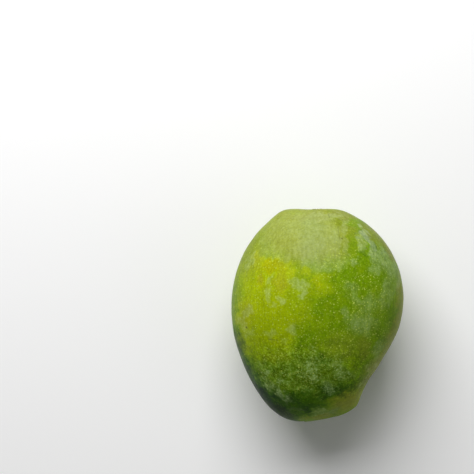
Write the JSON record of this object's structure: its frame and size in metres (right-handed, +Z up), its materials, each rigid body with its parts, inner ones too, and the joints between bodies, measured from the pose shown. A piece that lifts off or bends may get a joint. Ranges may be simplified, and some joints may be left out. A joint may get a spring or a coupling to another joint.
{
  "type": "mango",
  "caption": "Whole unripe green mango with a blunt beak near the tip and a shallow stem cavity, lying on its cheek on a small flat spot.",
  "frame": {"origin": "on the surface that the fruit lies on, under the middle of the box round it", "axes": "+Y from the tip to the stem end, +X to the belly side that carries the beak, +Z up through both cheeks"},
  "size_m": [0.0858, 0.1065, 0.0742],
  "materials": {
    "skin": "satin waxy green mango skin"
  },
  "bodies": {
    "root": {"mango": "skin"}
  },
  "joints": []
}
